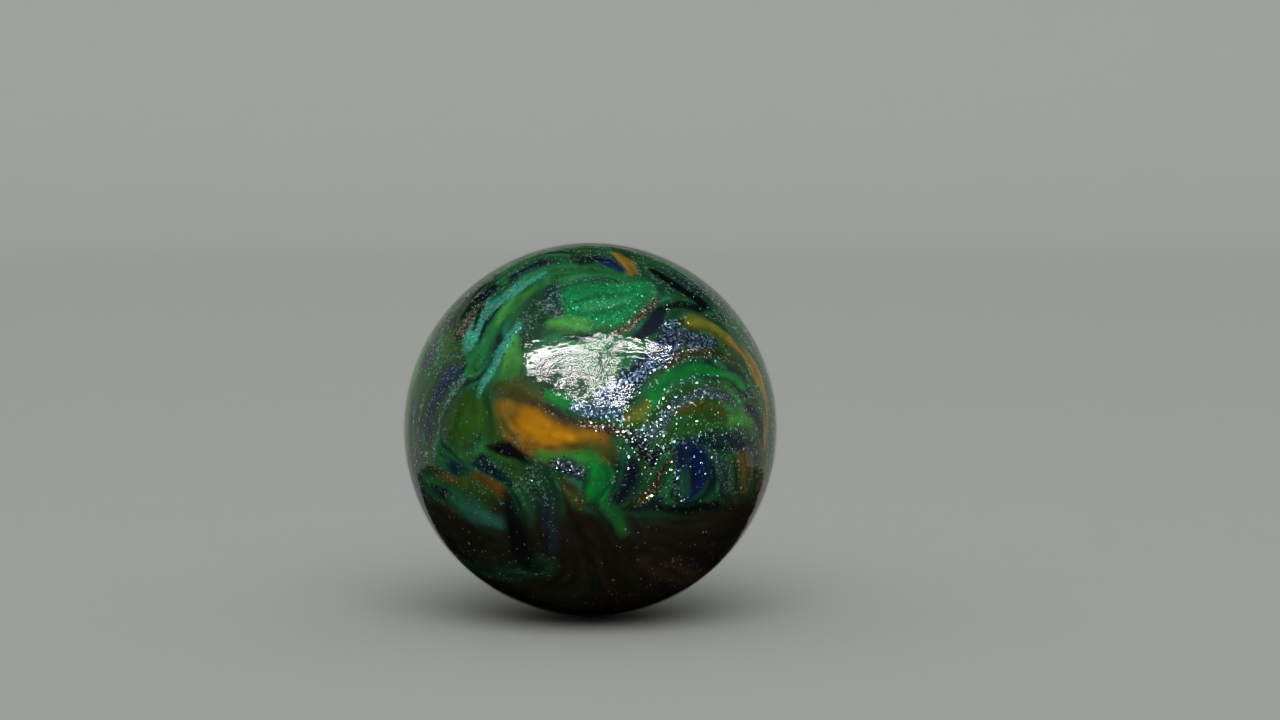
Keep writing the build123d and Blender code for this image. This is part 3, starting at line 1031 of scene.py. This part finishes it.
def area_light(name, longitude, latitude, distance, width, height, power):
    lamp = bpy.data.lights.new(name, "AREA")
    lamp.shape = "RECTANGLE"
    lamp.size = width
    lamp.size_y = height
    lamp.energy = power
    light = put_in_scene(name, lamp)
    place = Vector(direction(longitude, latitude)) * distance
    light.location = place
    light.rotation_euler = (-place).to_track_quat("-Z", "Y").to_euler()
    return light


KEY_FROM = (3, 48)
KEY_SOFTNESS = 50


def make_lights():
    """An even room, a soft key from above the front, and the window that the gloss shows."""
    world = bpy.data.worlds.new("room")
    world.use_nodes = True
    world.node_tree.nodes["Background"].inputs["Color"].default_value = WORLD_GREY
    world.cycles_visibility.glossy = False
    bpy.context.scene.world = world

    key = put_in_scene("key", bpy.data.lights.new("key", "SUN"))
    key.data.energy = 1.0
    key.data.angle = math.radians(KEY_SOFTNESS)
    key.rotation_euler = (-Vector(direction(*KEY_FROM))).to_track_quat("-Z", "Y").to_euler()
    key.visible_glossy = False
    make_window()


# The bright window, seen only in the gloss: slats broken into lengths, level at the top and a
# little sloped lower down. The outline gives a slat's latitude, its middle's longitude, and its
# width in metres.
WINDOW_DISTANCE = 0.5
WINDOW_RADIANCE = 31.0
WINDOW_SLATS = 10
WINDOW_FILLED_TOP = 0.60
WINDOW_FILLED_LOW = 0.46
WINDOW_BREAK = 0.030
WINDOW_SLOPE_LOW = math.radians(6)
WINDOW_OUTLINE = [
    (60.5, 9.0, 0.82),
    (54.5, 8.0, 0.82),
    (52.5, -15.0, 0.54),
    (38.0, -13.0, 0.50),
    (30.0, 4.5, 0.44),
    (22.0, 6.3, 0.32),
]


def make_window():
    random = np.random.default_rng(SEED + 300)
    latitudes, longitudes, widths = np.array(WINDOW_OUTLINE[::-1]).T
    pitch = (latitudes[-1] - latitudes[0]) / (WINDOW_SLATS - 1)
    for i in range(WINDOW_SLATS):
        down = i / (WINDOW_SLATS - 1)
        latitude = latitudes[-1] - i * pitch
        longitude = np.interp(latitude, latitudes, longitudes)
        width = np.interp(latitude, latitudes, widths)
        filled = WINDOW_FILLED_TOP + down * (WINDOW_FILLED_LOW - WINDOW_FILLED_TOP)
        cuts = [0.0, random.uniform(0.15, 0.45), random.uniform(0.55, 0.85), 1.0]
        for j in range(3):
            length = (cuts[j + 1] - cuts[j]) * width - WINDOW_BREAK
            height = math.radians(pitch) * WINDOW_DISTANCE * filled * random.uniform(0.75, 1.25)
            power = WINDOW_RADIANCE * math.pi * length * height
            name = f"window_{i}_{j}"
            slat = area_light(name, longitude, latitude, WINDOW_DISTANCE, length, height, power)
            slope = Quaternion((0, 0, 1), -WINDOW_SLOPE_LOW * down + random.uniform(-0.05, 0.05))
            turned = slat.rotation_euler.to_quaternion() @ slope
            slat.rotation_euler = turned.to_euler()
            off_middle = ((cuts[j] + cuts[j + 1]) / 2 - 0.5) * width
            slat.location += turned @ Vector((off_middle, 0, 0))
            slat.visible_diffuse = False
            slat.visible_camera = False


def make_camera():
    camera = put_in_scene("camera", bpy.data.cameras.new("camera"))
    camera.data.lens = LENS
    camera.data.sensor_width = 36.0
    camera.data.clip_start = 0.01
    away = Vector(direction(0, CAMERA_ELEVATION))
    right = Vector((1, 0, 0))
    up = right.cross(-away).normalized()
    camera.location = away * CAMERA_DISTANCE
    aim = right * AIM_RIGHT + up * AIM_UP
    camera.rotation_euler = (aim - camera.location).to_track_quat("-Z", "Y").to_euler()
    bpy.context.scene.camera = camera


make_camera()
make_stage()
make_lights()
outlines = {node: Outline(node) for node in MASS_LOOKS}
marbling = Marbling(outlines)
make_marbling(outlines, marbling)
make_coat()
make_flakes(marbling)
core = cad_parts["core_ball"]
core.data.materials.clear()
core.data.materials.append(core_resin())
bpy.context.scene.view_settings.view_transform = "Standard"
